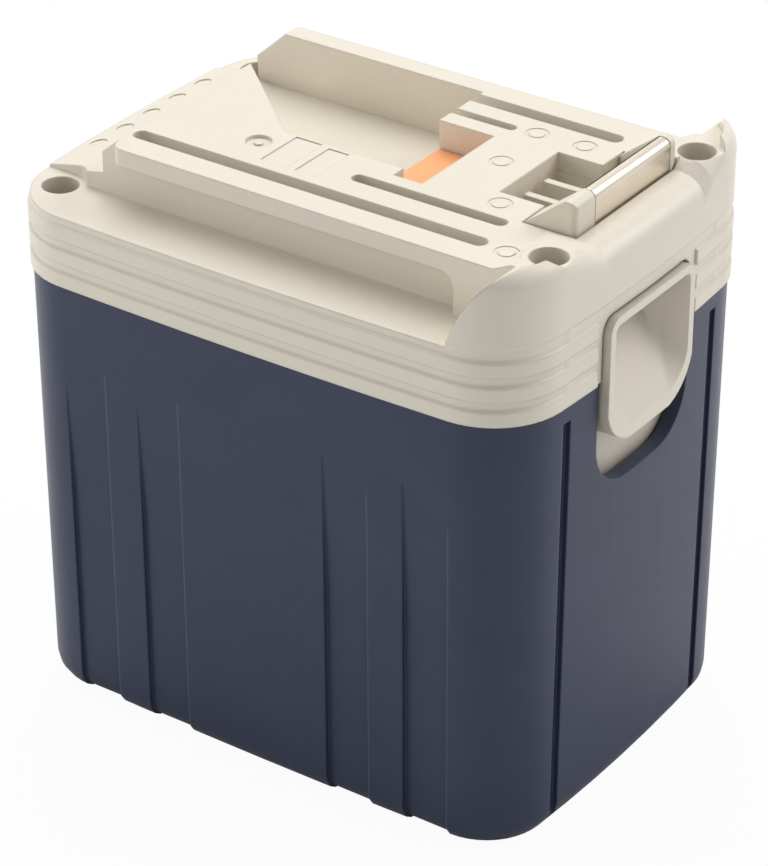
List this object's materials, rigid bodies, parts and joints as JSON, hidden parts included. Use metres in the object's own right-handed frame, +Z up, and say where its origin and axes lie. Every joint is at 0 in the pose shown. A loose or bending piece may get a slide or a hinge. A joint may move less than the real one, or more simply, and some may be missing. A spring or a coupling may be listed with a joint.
{
  "type": "power tool battery pack",
  "caption": "Slide-on battery pack with a dark fluted case, cream railed cover, push-down release button and sprung latch.",
  "frame": {"origin": "centre of the flat underside of the case", "axes": "+X towards the end with the latch and release button, +Z up towards the rails, +Y across"},
  "size_m": [0.1187, 0.0852, 0.1244],
  "materials": {
    "navy_plastic": "satin moulded",
    "cream_plastic": "satin moulded",
    "dark_plastic": "moulded",
    "bright_steel": "bright rolled",
    "screw_steel": "zinc plated",
    "spring_steel": "drawn wire",
    "orange_plastic": "satin moulded",
    "contact_brass": "stamped",
    "cell_steel": "nickel plated",
    "cell_sleeve": "shrink sleeve",
    "ring_board": "fibre board",
    "nickel": "rolled strip",
    "black_foam": "closed cell foam",
    "fibre_sheet": "pressed fibre",
    "red_wire": "insulated wire",
    "black_wire": "insulated wire",
    "yellow_wire": "insulated wire",
    "sensor_epoxy": "dipped epoxy",
    "fuse_ceramic": "ceramic body"
  },
  "bodies": {
    "case": {"lower_case": "navy_plastic", "upper_cover": "cream_plastic", "cover_screws": "screw_steel", "spring_seat": "dark_plastic", "terminal_block": "orange_plastic", "terminal_screws": "screw_steel", "positive_terminal": "contact_brass", "negative_terminal": "contact_brass", "signal_terminal": "contact_brass", "lower_cells": "cell_steel", "upper_cells": "cell_steel", "lower_sleeves": "cell_sleeve", "upper_sleeves": "cell_sleeve", "cell_buttons": "cell_steel", "cell_rings": "ring_board", "bottom_links": "nickel", "lower_links": "nickel", "upper_links": "nickel", "top_links": "nickel", "bottom_pad": "black_foam", "side_pads": "black_foam", "bottom_sheet": "fibre_sheet", "middle_sheet": "fibre_sheet", "top_sheet": "fibre_sheet", "positive_lead": "red_wire", "negative_lead": "black_wire", "sensor_leads": "yellow_wire", "thermistor": "sensor_epoxy", "thermal_fuse": "fuse_ceramic", "button_springs": "spring_steel"},
    "button": {"release_button": "cream_plastic", "slide_frame": "dark_plastic", "latch": "cream_plastic", "latch_plate": "bright_steel"}
  },
  "joints": [
    {"name": "button_press", "type": "slide", "parent": "case", "child": "button", "axis": [0, 0, -1], "range_m": [0, 0.007], "stiffness_N_per_m": 800, "springref_m": -0.004, "deforming": ["button_springs"]}
  ]
}
